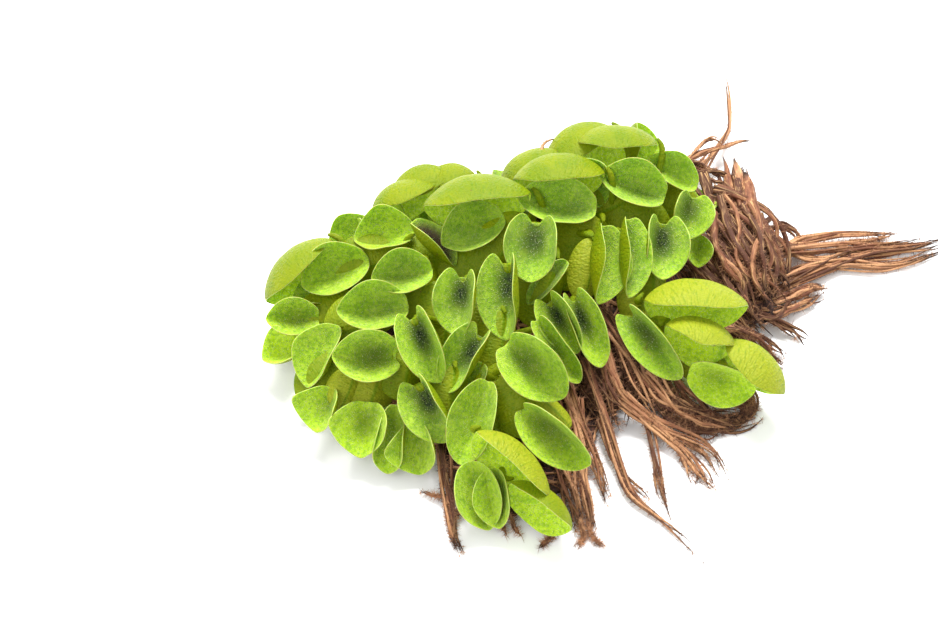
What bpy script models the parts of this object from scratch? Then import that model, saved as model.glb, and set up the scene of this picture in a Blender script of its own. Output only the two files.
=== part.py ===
"""A lifted clump of water spangles, a floating fern: cupped leaves crowded on a forking rhizome,
over a mat of brown, root-like submerged leaves that trail out along the table.

Metres, +Z up. The origin is on the table, at the middle of the root mat's flat underside.
+X runs along the clump, from the young leaves to the long root tail, and -Y faces the viewer.
"""

import math

import bmesh
import bpy
from mathutils import Matrix, Vector
from mathutils.bvhtree import BVHTree

MM = 0.001

# How the clump lies in view: leaves and roots are placed where they are seen, at a height above the table.
VIEW_ELEVATION = math.radians(50)
VIEW_DISTANCE = 0.521
VIEW_CENTRE_PX = (469, 313)
ORIGIN_PX = (540, 360)
LEAF_LENGTH_PX = 75
LEAF_LENGTH = 15 * MM
METRES_PER_PX = LEAF_LENGTH / LEAF_LENGTH_PX

RIGHT = Vector((1, 0, 0))
SCREEN_UP = Vector((0, math.sin(VIEW_ELEVATION), math.cos(VIEW_ELEVATION)))
TO_VIEWER = Vector((0, -math.cos(VIEW_ELEVATION), math.sin(VIEW_ELEVATION)))
AIM_POINT = Vector(
    (
        (VIEW_CENTRE_PX[0] - ORIGIN_PX[0]) * METRES_PER_PX,
        (ORIGIN_PX[1] - VIEW_CENTRE_PX[1]) * METRES_PER_PX / math.sin(VIEW_ELEVATION),
        0,
    )
)
EYE = AIM_POINT + TO_VIEWER * VIEW_DISTANCE

LEAF_THICKNESS = 0.8 * MM
CLEARANCE = 0.35 * MM
RIM_POINTS = 12
RINGS = (0.55, 1.0)
NOTCH_SHARE = 0.16
NOTCH_SPREAD = math.radians(26)


def spot(px, py, height):
    """The point at that height above the table which the viewer sees at a pixel of the photograph."""
    across = (px - VIEW_CENTRE_PX[0]) * METRES_PER_PX
    up = (VIEW_CENTRE_PX[1] - py) * METRES_PER_PX
    ray = AIM_POINT + RIGHT * across + SCREEN_UP * up - EYE
    return EYE + ray * ((height - EYE.z) / ray.z)


def material(name, colour, roughness):
    made = bpy.data.materials.new(name)
    made.use_nodes = True
    surface = made.node_tree.nodes["Principled BSDF"]
    surface.inputs["Base Color"].default_value = (*colour, 1)
    surface.inputs["Roughness"].default_value = roughness
    surface.inputs["Metallic"].default_value = 0
    made.diffuse_color = (*colour, 1)
    return made


def clear_scene():
    for old in list(bpy.data.objects):
        bpy.data.objects.remove(old)


def finish(name, mesh, mat):
    """Turn a working mesh into a smooth-shaded object of one material."""
    data = bpy.data.meshes.new(name)
    mesh.to_mesh(data)
    mesh.free()
    data.materials.append(mat)
    for face in data.polygons:
        face.use_smooth = True
    made = bpy.data.objects.new(name, data)
    bpy.context.scene.collection.objects.link(made)
    return made


def apply_all(made):
    """Bake the object's modifiers into its mesh."""
    evaluated = made.evaluated_get(bpy.context.evaluated_depsgraph_get())
    data = bpy.data.meshes.new_from_object(evaluated)
    made.modifiers.clear()
    made.data = data
    data.name = made.name


# Leaves: velvety above, smooth and waxy below, rolled up about the midrib into a cup


def cup_point(across, along, width, length, fold, roll, curl, taper):
    """A point of the flat blade after it is rolled and folded about its midrib, then curled end to end."""
    turn_rate = math.radians(roll) / (width / 2)
    start = math.radians(fold)
    end = start + turn_rate * abs(across)
    x = (math.sin(end) - math.sin(start)) / turn_rate
    y = (math.cos(start) - math.cos(end)) / turn_rate
    widening = 1 + taper * along / length
    x, y = x * widening, y * widening
    radius = length / math.radians(curl)
    return Vector(
        (
            math.copysign(x, across),
            radius - (radius - y) * math.cos(along / radius),
            (radius - y) * math.sin(along / radius),
        )
    )


def blade_point(turn, ring, width, length):
    """(across, along) of a flat blade's point: turn 0 is at the notch where the stalk joins."""
    wrapped = math.remainder(turn, 2 * math.pi)
    notch = NOTCH_SHARE * length * math.exp(-((wrapped / NOTCH_SPREAD) ** 2))
    across = ring * width / 2 * math.sin(turn)
    along = -ring * length / 2 * math.cos(turn) + ring**2 * notch
    return across, along


def leaf_frame(aim, lean, turn):
    """The leaf's axes: z from stalk to tip, as seen in the photograph, y the way that the cup opens."""
    aim, lean, turn = (math.radians(v) for v in (aim, lean, turn))
    flat = RIGHT * math.cos(aim) + SCREEN_UP * math.sin(aim)
    tip = flat * math.cos(lean) + TO_VIEWER * math.sin(lean)
    facing = TO_VIEWER * math.cos(lean) - flat * math.sin(lean)
    opening = facing * math.cos(turn) + facing.cross(tip) * math.sin(turn)
    side = opening.cross(tip)
    return Matrix((side, opening, tip)).transposed()


def leaf(name, seen, height, length, width, aim, lean, turn, fold, roll, curl, taper, mat):
    length, width = length * MM, width * MM
    mesh = bmesh.new()
    centre = mesh.verts.new(cup_point(0, 0, width, length, fold, roll, curl, taper))
    previous = None
    for ring in RINGS:
        row = []
        for k in range(RIM_POINTS):
            across, along = blade_point(2 * math.pi * k / RIM_POINTS, ring, width, length)
            row.append(mesh.verts.new(cup_point(across, along, width, length, fold, roll, curl, taper)))
        for k in range(RIM_POINTS):
            after = (k + 1) % RIM_POINTS
            if previous is None:
                mesh.faces.new((centre, row[k], row[after]))
            else:
                mesh.faces.new((previous[k], row[k], row[after], previous[after]))
        previous = row
    bmesh.ops.recalc_face_normals(mesh, faces=mesh.faces)
    if mesh.faces[0].normal.y < 0:
        bmesh.ops.reverse_faces(mesh, faces=mesh.faces)
    side = cup_point(width / 2, 0, width, length, fold, roll, curl, taper)
    end = cup_point(0, length / 2, width, length, fold, roll, curl, taper)
    frame = leaf_frame(aim, lean, turn)
    rim_centre = Vector((0, (side.y + end.y) / 2, 0))
    move = spot(*seen, height * MM) - frame @ rim_centre
    mesh.transform(Matrix.Translation(move) @ frame.to_4x4())
    made = finish(name, mesh, mat)
    wall = made.modifiers.new("wall", "SOLIDIFY")
    wall.thickness = LEAF_THICKNESS
    wall.offset = 0
    apply_all(made)
    base = cup_point(0, -(0.5 - NOTCH_SHARE) * length, width, length, fold, roll, curl, taper)
    add_stalk(made, frame @ base + move, frame.col[2], mat)
    return made


# Stalks: each leaf stands on the rhizome by a short stalk, thicker where it meets the blade

STALK_SIDES = 5
STALK_BASE = 0.5 * MM
STALK_TOP = 0.9 * MM
STALK_LONGEST = 14 * MM


def nearest_on_rhizome(place):
    """The closest point on the centre line of any stem."""
    best = None
    for _, *stations in STEMS:
        line = [spot(*seen, height * MM) for seen, height, _, _ in stations]
        for first, second in zip(line, line[1:]):
            span = second - first
            share = min(1, max(0, (place - first).dot(span) / span.length_squared))
            point = first + span * share
            if best is None or (point - place).length < (best - place).length:
                best = point
    return best


def add_stalk(made, base, along, mat):
    """Join a stalk to the leaf: it leaves the blade's base and ends on the nearest stem."""
    foot = nearest_on_rhizome(base)
    if (foot - base).length > STALK_LONGEST:
        foot = base + (foot - base).normalized() * STALK_LONGEST
    axis = (foot - base).normalized()
    side = axis.orthogonal().normalized()
    other = axis.cross(side)
    mesh = bmesh.new()
    rows = []
    for place, radius in ((base + along * STALK_TOP, STALK_TOP), (foot, STALK_BASE)):
        row = []
        for k in range(STALK_SIDES):
            turn = 2 * math.pi * k / STALK_SIDES
            out = side * math.cos(turn) + other * math.sin(turn)
            row.append(mesh.verts.new(place + out * radius))
        rows.append(row)
    for k in range(STALK_SIDES):
        after = (k + 1) % STALK_SIDES
        mesh.faces.new((rows[0][k], rows[0][after], rows[1][after], rows[1][k]))
    mesh.faces.new(list(reversed(rows[0])))
    mesh.faces.new(rows[1])
    bmesh.ops.recalc_face_normals(mesh, faces=mesh.faces)
    stalk = finish(made.name + "_stalk", mesh, mat)
    join = made.modifiers.new("join", "BOOLEAN")
    join.operation = "UNION"
    join.solver = "EXACT"
    join.object = stalk
    apply_all(made)
    bpy.data.objects.remove(stalk)
    keep_largest(made)


# name, seen at, height, length, width, aim, lean, turn, fold, roll, curl, taper: pixels, mm and degrees
LEAVES = (
    ("crown_leaf_1", (617, 153), 24, 16, 18, 178, 0, 60, 25, 55, 40, 0.1),
    ("crown_leaf_2", (584, 153), 21, 15, 18, 203, 0, 75, 25, 55, 40, 0.1),
    ("crown_leaf_3", (637, 184), 25, 15, 15, 161, 5, -22, 18, 60, 35, 0.1),
    ("crown_leaf_4", (561, 201), 26, 17, 15, 172, 5, -22, 18, 60, 35, 0.1),
    ("crown_leaf_5", (560, 184), 25, 18, 18, 183, 0, 60, 25, 55, 40, 0.1),
    ("crown_leaf_6", (675, 174), 22, 12, 14, 150, 0, -28, 18, 62, 35, 0.1),
    ("ridge_leaf_1", (474, 226), 24, 14.5, 15, 206, 5, -25, 18, 60, 35, 0.1),
    ("ridge_leaf_2", (479, 207), 25, 21, 19, 186, 0, 60, 25, 55, 40, 0.1),
    ("ridge_leaf_3", (532, 242), 27, 15, 16, 264, 10, -5, 18, 65, 45, 0.15),
    ("ridge_leaf_4", (610, 261), 22, 17, 14, 266, 5, 26, 30, 50, 35, 0.1),
    ("ridge_leaf_5", (635, 254), 22, 17, 11, 270, 5, 26, 35, 50, 35, 0.1),
    ("ridge_leaf_6", (667, 242), 21, 14.5, 13, 268, 10, 10, 15, 70, 50, 0.1),
    ("ridge_leaf_7", (693, 212), 20, 11, 15, 256, 10, 8, 28, 50, 40, 0.1),
    ("middle_leaf_1", (500, 291), 24, 18.5, 14, 270, 5, -25, 28, 57, 35, 0.1),
    ("middle_leaf_2", (456, 297), 24, 14.5, 13.5, 264, 5, -12, 25, 58, 40, 0.1),
    ("middle_leaf_3", (420, 342), 21, 17, 14, 293, 5, -10, 32, 50, 35, 0.1),
    ("middle_leaf_4", (404, 272), 22, 13, 14, 188, 5, -20, 18, 60, 40, 0.1),
    ("middle_leaf_5", (375, 306), 20, 15, 15, 184, 5, -12, 18, 62, 40, 0.1),
    ("middle_leaf_6", (370, 356), 17, 14.5, 17, 180, 5, -3, 22, 62, 40, 0.1),
    ("middle_leaf_7", (385, 230), 20, 13, 14, 188, 0, -35, 18, 65, 40, 0.1),
    ("left_leaf_1", (305, 276), 13, 17.5, 18, 222, 0, 60, 25, 55, 40, 0.1),
    ("left_leaf_2", (335, 269), 17, 15, 16, 202, 0, -32, 18, 65, 40, 0.1),
    ("left_leaf_3", (295, 317), 12, 11.5, 12, 180, 5, -6, 18, 68, 45, 0.1),
    ("left_leaf_4", (283, 347), 8, 9.5, 12, 200, 5, -22, 15, 70, 45, 0.1),
    ("left_leaf_5", (317, 352), 13, 14, 13.5, 244, 5, -25, 18, 65, 45, 0.1),
    ("left_leaf_6", (319, 406), 10, 10, 14, 250, 5, -28, 18, 62, 45, 0.3),
    ("front_leaf_1", (361, 425), 10, 12, 17, 262, 10, -12, 18, 65, 45, 0.2),
    ("front_leaf_2", (391, 438), 8, 14, 11, 262, 0, -5, 35, 55, 35, 0.5),
    ("front_leaf_3", (414, 447), 8, 11, 14, 272, 0, -18, 25, 60, 35, 0.6),
    ("front_leaf_4", (423, 408), 14, 15.5, 14, 298, 5, -22, 22, 60, 35, 0.1),
    ("front_leaf_5", (463, 353), 19, 16, 12.5, 240, 5, -20, 28, 58, 35, 0.2),
    ("front_leaf_6", (473, 420), 14, 17.5, 15, 252, 5, -12, 22, 65, 42, 0.2),
    ("front_leaf_7", (531, 367), 20, 17, 17, 318, 5, -5, 20, 62, 40, 0.1),
    ("front_leaf_8", (551, 437), 14, 18, 15, 320, 5, -35, 22, 62, 40, 0.1),
    ("front_leaf_9", (511, 462), 12, 18, 18, 318, 5, -50, 25, 60, 40, 0.1),
    ("front_leaf_10", (493, 498), 8, 12, 11, 277, 5, -18, 15, 75, 45, 0.1),
    ("front_leaf_11", (537, 511), 7, 14, 19, 324, 5, -52, 25, 60, 45, 0.1),
    ("side_leaf_1", (558, 321), 17, 14.5, 12.5, 300, 5, -10, 25, 55, 35, 0.1),
    ("side_leaf_2", (586, 324), 16, 17.5, 12, 292, 5, 10, 30, 50, 35, 0.1),
    ("side_leaf_3", (648, 342), 13, 19, 13, 309, 5, -22, 22, 60, 35, 0.1),
    ("side_leaf_4", (695, 311), 15, 20, 19, 358, 0, -60, 28, 55, 35, 0.1),
    ("side_leaf_5", (694, 350), 13, 16, 19, 344, 0, -48, 25, 60, 40, 0.1),
    ("side_leaf_6", (722, 389), 8, 14.5, 13, 343, 0, -18, 22, 65, 40, 0.1),
    ("side_leaf_7", (749, 374), 9, 15, 20, 320, 0, -55, 28, 55, 40, 0.1),
    ("back_leaf_1", (424, 190), 17, 12, 15, 195, 0, 82, 25, 55, 40, 0.1),
    ("hind_leaf_1", (596, 170), 13, 15, 17, 100, -50, 0, 18, 60, 40, 0.1),
    ("hind_leaf_2", (520, 186), 13, 15, 17, 85, -50, 0, 18, 60, 40, 0.1),
    ("hind_leaf_3", (446, 208), 12, 15, 17, 110, -50, 0, 18, 60, 40, 0.1),
)


# Rhizome: the green floating stem that the leaves stand on

STEM_SIDES = 8

# name, then stations of (seen at, height, half width, half thickness) in pixels and millimetres
STEMS = (
    (
        "rhizome_main",
        ((330, 290), 9, 0.6, 0.6),
        ((400, 265), 13, 1.0, 1.0),
        ((480, 255), 14, 1.2, 1.2),
        ((560, 235), 15, 1.2, 1.2),
        ((640, 225), 12, 0.9, 0.9),
    ),
    (
        "rhizome_left",
        ((352, 300), 9, 0.6, 0.6),
        ((338, 340), 8, 0.9, 0.9),
        ((356, 385), 6, 0.9, 0.9),
        ((392, 415), 4.5, 0.6, 0.6),
    ),
    (
        "rhizome_front",
        ((470, 280), 13, 0.7, 0.7),
        ((462, 330), 11, 1.0, 1.0),
        ((480, 390), 8, 1.0, 1.0),
        ((505, 450), 5, 0.6, 0.6),
    ),
    (
        "rhizome_right",
        ((600, 260), 12, 0.7, 0.7),
        ((632, 290), 10, 1.0, 1.0),
        ((680, 325), 8, 1.0, 1.0),
        ((735, 362), 6, 0.6, 0.6),
    ),
)

# Roots: the divided brown leaves which hang under the plant in water and lie along the table here

ROOTS = (
    (
        "root_tangle_right",
        ((733, 172), 4, 2.0, 2.0),
        ((738, 200), 5, 4.5, 4.2),
        ((744, 235), 6, 7.0, 5.2),
        ((746, 270), 5.6, 8.2, 4.8),
        ((752, 305), 4, 7.0, 3.2),
        ((765, 330), 2.2, 4.0, 1.6),
    ),
    (
        "root_tail_right",
        ((778, 281), 3.2, 4.0, 2.4),
        ((800, 272), 2.8, 5.0, 2.2),
        ((825, 262), 2.1, 4.6, 1.7),
        ((850, 254), 1.6, 4.2, 1.2),
        ((880, 250), 1.3, 3.0, 0.9),
        ((910, 245), 0.9, 1.5, 0.6),
        ((937, 240), 0.7, 0.5, 0.4),
    ),
    (
        "root_curtain_right",
        ((650, 388), 2.2, 2.5, 1.7),
        ((672, 402), 2.4, 4.0, 1.9),
        ((700, 408), 2.3, 4.6, 1.8),
        ((728, 410), 2.0, 4.2, 1.5),
        ((750, 402), 1.6, 2.2, 1.0),
    ),
    (
        "root_hank_front",
        ((614, 318), 10, 2.5, 2.0),
        ((622, 350), 8, 5.5, 2.6),
        ((630, 388), 5, 7.5, 2.6),
        ((645, 424), 2.4, 6.5, 1.9),
        ((659, 462), 1.4, 4.4, 1.1),
        ((672, 500), 1.0, 3.0, 0.8),
        ((690, 538), 0.8, 1.3, 0.6),
        ((702, 557), 0.6, 0.5, 0.4),
    ),
    (
        "root_hank_middle",
        ((572, 388), 5, 4.0, 2.4),
        ((580, 420), 4, 5.0, 2.4),
        ((585, 455), 2.8, 4.8, 2.0),
        ((585, 490), 1.9, 3.8, 1.5),
        ((585, 516), 1.4, 2.6, 1.0),
        ((588, 543), 0.8, 0.9, 0.5),
    ),
    (
        "root_hank_left",
        ((446, 446), 2.8, 2.6, 1.8),
        ((449, 478), 2.1, 2.4, 1.5),
        ((452, 512), 1.4, 1.9, 1.0),
        ((456, 552), 0.7, 0.5, 0.4),
    ),
    (
        "root_sprig_top",
        ((686, 163), 6, 1.3, 1.1),
        ((704, 155), 5, 1.1, 0.9),
        ((717, 148), 3.8, 0.9, 0.7),
        ((727, 132), 2.2, 0.7, 0.6),
        ((730, 110), 1.2, 0.6, 0.5),
        ((725, 74), 0.8, 0.4, 0.4),
    ),
)


def strand(name, stations, mat):
    """A closed, tapering bundle through its stations, wider than it is thick."""
    centres = [spot(*seen, height * MM) for seen, height, _, _ in stations]
    mesh = bmesh.new()
    rows = []
    for i, (_, _, half_width, half_thickness) in enumerate(stations):
        along = (centres[min(i + 1, len(centres) - 1)] - centres[max(i - 1, 0)]).normalized()
        side = Vector((0, 0, 1)).cross(along).normalized()
        top = along.cross(side)
        row = []
        for k in range(STEM_SIDES):
            turn = 2 * math.pi * (k + 0.5) / STEM_SIDES
            out = side * half_width * MM * math.cos(turn) + top * half_thickness * MM * math.sin(turn)
            row.append(mesh.verts.new(centres[i] + out))
        rows.append(row)
    for first, second in zip(rows, rows[1:]):
        for k in range(STEM_SIDES):
            after = (k + 1) % STEM_SIDES
            mesh.faces.new((first[k], first[after], second[after], second[k]))
    mesh.faces.new(list(reversed(rows[0])))
    mesh.faces.new(rows[-1])
    bmesh.ops.recalc_face_normals(mesh, faces=mesh.faces)
    return finish(name, mesh, mat)


# Root mat: the felt of roots under the leaves, pressed flat on the table

MAT_OUTLINE = (
    (-44, -2),
    (-38, -13),
    (-30, -20),
    (-20, -22),
    (-16, -34),
    (-6, -38),
    (2, -34),
    (8, -24),
    (12, -14),
    (22, -8),
    (29, 2),
    (31, 16),
    (30, 32),
    (20, 42),
    (4, 44),
    (-14, 42),
    (-30, 34),
    (-42, 22),
    (-48, 8),
)
MAT_CENTRE = Vector((-4, 10, 0)) * MM
MAT_HEIGHT = 19 * MM
MAT_EDGE = 1.6 * MM
MAT_RINGS = (0.2, 0.4, 0.58, 0.74, 0.88, 1.0)
MAT_GAP = 1.0 * MM
MAT_PROBE = 5 * MM
PROBE_STEPS = (-1, -0.5, 0, 0.5, 1)
LUMPINESS = 0.12


def root_mat(above, mat):
    """A lumpy cushion with a flat underside, kept just below everything that stands over it."""
    trees = [BVHTree.FromObject(o, bpy.context.evaluated_depsgraph_get()) for o in above]

    def clear_height(x, y, wanted):
        lowest = wanted
        for dx in PROBE_STEPS:
            for dy in PROBE_STEPS:
                start = Vector((x + dx * MAT_PROBE, y + dy * MAT_PROBE, -MAT_PROBE))
                for tree in trees:
                    hit = tree.ray_cast(start, Vector((0, 0, 1)))[0]
                    if hit:
                        lowest = min(lowest, hit.z - MAT_GAP)
        return max(lowest, MAT_EDGE)

    mesh = bmesh.new()
    outline = [Vector((x, y, 0)) * MM for x, y in MAT_OUTLINE]
    count = len(outline)
    top = mesh.verts.new(MAT_CENTRE + Vector((0, 0, clear_height(MAT_CENTRE.x, MAT_CENTRE.y, MAT_HEIGHT))))
    previous = None
    for ring in MAT_RINGS:
        row = []
        for k, corner in enumerate(outline):
            place = MAT_CENTRE.lerp(corner, ring)
            lump = 1 + LUMPINESS * math.sin(5 * k + 9 * ring)
            wanted = MAT_EDGE + (MAT_HEIGHT - MAT_EDGE) * (1 - ring**3) * lump
            place.z = clear_height(place.x, place.y, wanted)
            row.append(mesh.verts.new(place))
        for k in range(count):
            after = (k + 1) % count
            if previous is None:
                mesh.faces.new((top, row[k], row[after]))
            else:
                mesh.faces.new((previous[k], row[k], row[after], previous[after]))
        previous = row
    under = [mesh.verts.new(corner) for corner in outline]
    for k in range(count):
        after = (k + 1) % count
        mesh.faces.new((previous[k], under[k], under[after], previous[after]))
    mesh.faces.new(under)
    bmesh.ops.recalc_face_normals(mesh, faces=mesh.faces)
    return finish("root_mat", mesh, mat)


# Clearances: pieces that press against each other are cut apart by a hair


MERGE_DISTANCES = (0.08 * MM, 0.03 * MM, 0.005 * MM)
FLAT_ENOUGH = math.radians(2)


def bounds_touch(a, b):
    gap = CLEARANCE * 2
    for axis in range(3):
        if a[0][axis] > b[1][axis] + gap or b[0][axis] > a[1][axis] + gap:
            return False
    return True


def extents(made):
    points = [v.co for v in made.data.vertices]
    low = Vector((min(p.x for p in points), min(p.y for p in points), min(p.z for p in points)))
    high = Vector((max(p.x for p in points), max(p.y for p in points), max(p.z for p in points)))
    return low, high


def grown(made):
    """A copy of a piece, swollen by the clearance."""
    copy = bpy.data.objects.new(made.name + "_room", made.data.copy())
    bpy.context.scene.collection.objects.link(copy)
    swell = copy.modifiers.new("swell", "DISPLACE")
    swell.strength = CLEARANCE
    swell.mid_level = 0
    apply_all(copy)
    return copy


def closed(mesh):
    """True for a body without gaps or doubled walls."""
    return len(mesh.verts) > 3 and all(edge.is_manifold for edge in mesh.edges)


def keep_largest(made):
    """Drop the crumbs that a cut leaves, so that the piece is one closed body."""
    mesh = bmesh.new()
    mesh.from_mesh(made.data)
    left = set(mesh.verts)
    groups = []
    while left:
        seed = left.pop()
        group, queue = {seed}, [seed]
        while queue:
            for edge in queue.pop().link_edges:
                for v in edge.verts:
                    if v in left:
                        left.discard(v)
                        group.add(v)
                        queue.append(v)
        groups.append(group)
    groups.sort(key=len)
    for group in groups[:-1]:
        bmesh.ops.delete(mesh, geom=list(group), context="VERTS")
    for merge in MERGE_DISTANCES:
        tidy = mesh.copy()
        bmesh.ops.remove_doubles(tidy, verts=tidy.verts, dist=merge)
        bmesh.ops.dissolve_degenerate(tidy, edges=tidy.edges, dist=merge / 2)
        bmesh.ops.dissolve_limit(tidy, angle_limit=FLAT_ENOUGH, verts=tidy.verts, edges=tidy.edges)
        bmesh.ops.triangulate(tidy, faces=tidy.faces)
        if closed(tidy):
            mesh.free()
            mesh = tidy
            break
        tidy.free()
    is_whole = closed(mesh)
    volume = mesh.calc_volume()
    mesh.to_mesh(made.data)
    mesh.free()
    return is_whole, volume


def overlaps(a, b):
    """True when the two pieces' surfaces cross once the other is swollen."""
    depsgraph = bpy.context.evaluated_depsgraph_get()
    return bool(BVHTree.FromObject(a, depsgraph).overlap(BVHTree.FromObject(b, depsgraph)))


LEAST_LEFT = 0.3
MOST_LEFT = 1.001


def volume_of(made):
    mesh = bmesh.new()
    mesh.from_mesh(made.data)
    volume = mesh.calc_volume()
    mesh.free()
    return volume


def cut_away(made, room):
    """Cut the swollen neighbour out of the piece, and undo a cut that leaves no sound body."""
    before = made.data.copy()
    volume_before = volume_of(made)
    for crosses_itself in (False, True):
        cut = made.modifiers.new("cut", "BOOLEAN")
        cut.operation = "DIFFERENCE"
        cut.solver = "EXACT"
        cut.object = room
        cut.use_self = crosses_itself
        apply_all(made)
        is_whole, volume = keep_largest(made)
        if is_whole and LEAST_LEFT * volume_before < volume < MOST_LEFT * volume_before:
            return
        made.data = before.copy()


def part_pieces(pieces):
    """Cut each piece by the swollen form of every earlier piece that it runs into."""
    rooms = []
    for made in pieces:
        mine = extents(made)
        for room, box in rooms:
            if bounds_touch(mine, box) and overlaps(made, room):
                cut_away(made, room)
        room = grown(made)
        rooms.append((room, extents(room)))
    for room, _ in rooms:
        bpy.data.objects.remove(room)


def main():
    clear_scene()
    green = material("leaf_green", (0.30, 0.48, 0.05), 0.5)
    stem = material("stem_green", (0.42, 0.50, 0.06), 0.5)
    root = material("root_brown", (0.26, 0.15, 0.07), 0.8)
    leaves = [leaf(*row, green) for row in LEAVES]
    stems = [strand(name, stations, stem) for name, *stations in STEMS]
    roots = [strand(name, stations, root) for name, *stations in ROOTS]
    mat = root_mat(leaves + stems + roots, root)
    part_pieces(stems + leaves + [mat] + roots)


main()
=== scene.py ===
import math
import random

import bpy
from mathutils import Matrix, Vector
from mathutils.bvhtree import BVHTree


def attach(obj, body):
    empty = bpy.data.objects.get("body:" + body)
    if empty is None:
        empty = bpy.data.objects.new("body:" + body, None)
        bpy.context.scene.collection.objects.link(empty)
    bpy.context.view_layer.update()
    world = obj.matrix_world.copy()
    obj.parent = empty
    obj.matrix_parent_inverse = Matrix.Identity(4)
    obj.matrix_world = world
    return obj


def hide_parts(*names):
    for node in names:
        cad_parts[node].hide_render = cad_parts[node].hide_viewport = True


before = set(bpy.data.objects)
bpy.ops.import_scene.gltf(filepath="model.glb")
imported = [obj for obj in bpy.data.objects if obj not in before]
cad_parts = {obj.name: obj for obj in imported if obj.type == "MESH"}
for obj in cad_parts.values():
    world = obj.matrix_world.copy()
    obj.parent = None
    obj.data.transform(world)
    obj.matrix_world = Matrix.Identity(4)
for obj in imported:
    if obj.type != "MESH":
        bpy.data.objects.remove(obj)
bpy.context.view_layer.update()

scene = bpy.context.scene
bpy.ops.object.select_all(action="DESELECT")


# Rhizome: the soft green stem that floats level in the water and carries every leaf and root. It forks
# three times, so it is laid in four lengths, each with a swollen ring at every leaf pair.

MM = 0.001
VIEW_ELEVATION = math.radians(50)
VIEW_DISTANCE = 0.521
VIEW_CENTRE_PX = (469, 313)
ORIGIN_PX = (540, 360)
METRES_PER_PX = 0.2 * MM
RIGHT = Vector((1, 0, 0))
SCREEN_UP = Vector((0, math.sin(VIEW_ELEVATION), math.cos(VIEW_ELEVATION)))
TO_VIEWER = Vector((0, -math.cos(VIEW_ELEVATION), math.sin(VIEW_ELEVATION)))
AIM_POINT = Vector((
    (VIEW_CENTRE_PX[0] - ORIGIN_PX[0]) * METRES_PER_PX,
    (ORIGIN_PX[1] - VIEW_CENTRE_PX[1]) * METRES_PER_PX / math.sin(VIEW_ELEVATION),
    0,
))
EYE = AIM_POINT + TO_VIEWER * VIEW_DISTANCE
NOISE_ROUGHNESS = 0.55


def spot(px, py, height):
    """The point that many millimetres above the table which the camera sees at a pixel."""
    across = (px - VIEW_CENTRE_PX[0]) * METRES_PER_PX
    up = (VIEW_CENTRE_PX[1] - py) * METRES_PER_PX
    ray = AIM_POINT + RIGHT * across + SCREEN_UP * up - EYE
    return EYE + ray * ((height * MM - EYE.z) / ray.z)


def pick(*pieces):
    """Select just these pieces, with the first one active."""
    bpy.ops.object.select_all(action="DESELECT")
    for piece in pieces:
        piece.select_set(True)
    bpy.context.view_layer.objects.active = pieces[0]


def apply_modifiers(piece):
    """Apply a piece's modifiers, from the first to the last."""
    pick(piece)
    for modifier in list(piece.modifiers):
        bpy.ops.object.modifier_apply(modifier=modifier.name)


def add(tree, kind, inputs=(), **settings):
    """A shader node; each input is a plain value or the output that feeds it."""
    made = tree.nodes.new("ShaderNode" + kind)
    for key, value in settings.items():
        setattr(made, key, value)
    for key, value in dict(inputs).items():
        if isinstance(value, bpy.types.NodeSocket):
            tree.links.new(value, made.inputs[key])
        else:
            made.inputs[key].default_value = value
    return made


def sums(operation, *values):
    """The result of a maths node; the first of its values is an output."""
    return add(values[0].id_data, "Math", dict(enumerate(values)), operation=operation).outputs[0]


def span(value, low, high, to_low=0, to_high=1):
    """The value's share of the way from low to high, smoothed and kept between the two ends."""
    inputs = {"Value": value, "From Min": low, "From Max": high, "To Min": to_low, "To Max": to_high}
    return add(value.id_data, "MapRange", inputs, interpolation_type="SMOOTHSTEP").outputs["Result"]


def blended(share, first, second):
    """The first colour, turned into the second by a share from 0 to 1."""
    return add(share.id_data, "MixRGB", {"Fac": share, "Color1": first, "Color2": second}).outputs["Color"]


def tinted(colour, tint, value, low, high, most=1):
    """The colour, turned into the tint as the value goes from low to high, at most by that share."""
    return blended(span(value, low, high, 0, most), colour, tint)


def patches(vector, scale, detail=3):
    """Cloudy noise from 0 to 1."""
    inputs = {"Vector": vector, "Scale": scale, "Detail": detail, "Roughness": NOISE_ROUGHNESS}
    return add(vector.id_data, "TexNoise", inputs).outputs["Fac"]


def new_material(name, roughness, **constants):
    """A material, its node tree, its surface shader, and the output that gives the place on the piece."""
    made = bpy.data.materials.new(name)
    made.use_nodes = True
    surface = made.node_tree.nodes["Principled BSDF"]
    surface.inputs["Roughness"].default_value = roughness
    for key, value in constants.items():
        surface.inputs[key.replace("_", " ")].default_value = value
    place = add(made.node_tree, "TexCoord").outputs["Object"]
    return made, made.node_tree, surface, place


def finish(surface, colour, height=None, depth=0.1 * MM):
    """Give the surface its colour and, with a height pattern, its relief of that depth."""
    tree = surface.id_data
    tree.links.new(colour, surface.inputs["Base Color"])
    if height is not None:
        bump = add(tree, "Bump", {"Height": height, "Strength": 1.0, "Distance": depth})
        tree.links.new(bump.outputs["Normal"], surface.inputs["Normal"])


def tube(name, lines, sides, steps, skin):
    """A mesh of round tubes: each line is a list of (place, radius), smoothed and closed at both ends."""
    shape = bpy.data.curves.new(name, "CURVE")
    shape.dimensions = "3D"
    shape.bevel_depth = 1
    shape.bevel_resolution = (sides - 4) // 2
    shape.resolution_u = steps
    shape.use_fill_caps = True
    for line in lines:
        spline = shape.splines.new("NURBS")
        spline.points.add(len(line) - 1)
        for point, (where, radius) in zip(spline.points, line):
            point.co = (*where, 1)
            point.radius = radius
        spline.order_u = min(4, len(line))
        spline.use_endpoint_u = True
        spline.use_smooth = True
    piece = bpy.data.objects.new(name, shape)
    scene.collection.objects.link(piece)
    piece.data.materials.append(skin)
    pick(piece)
    bpy.ops.object.convert(target="MESH")
    return bpy.context.object


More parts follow.
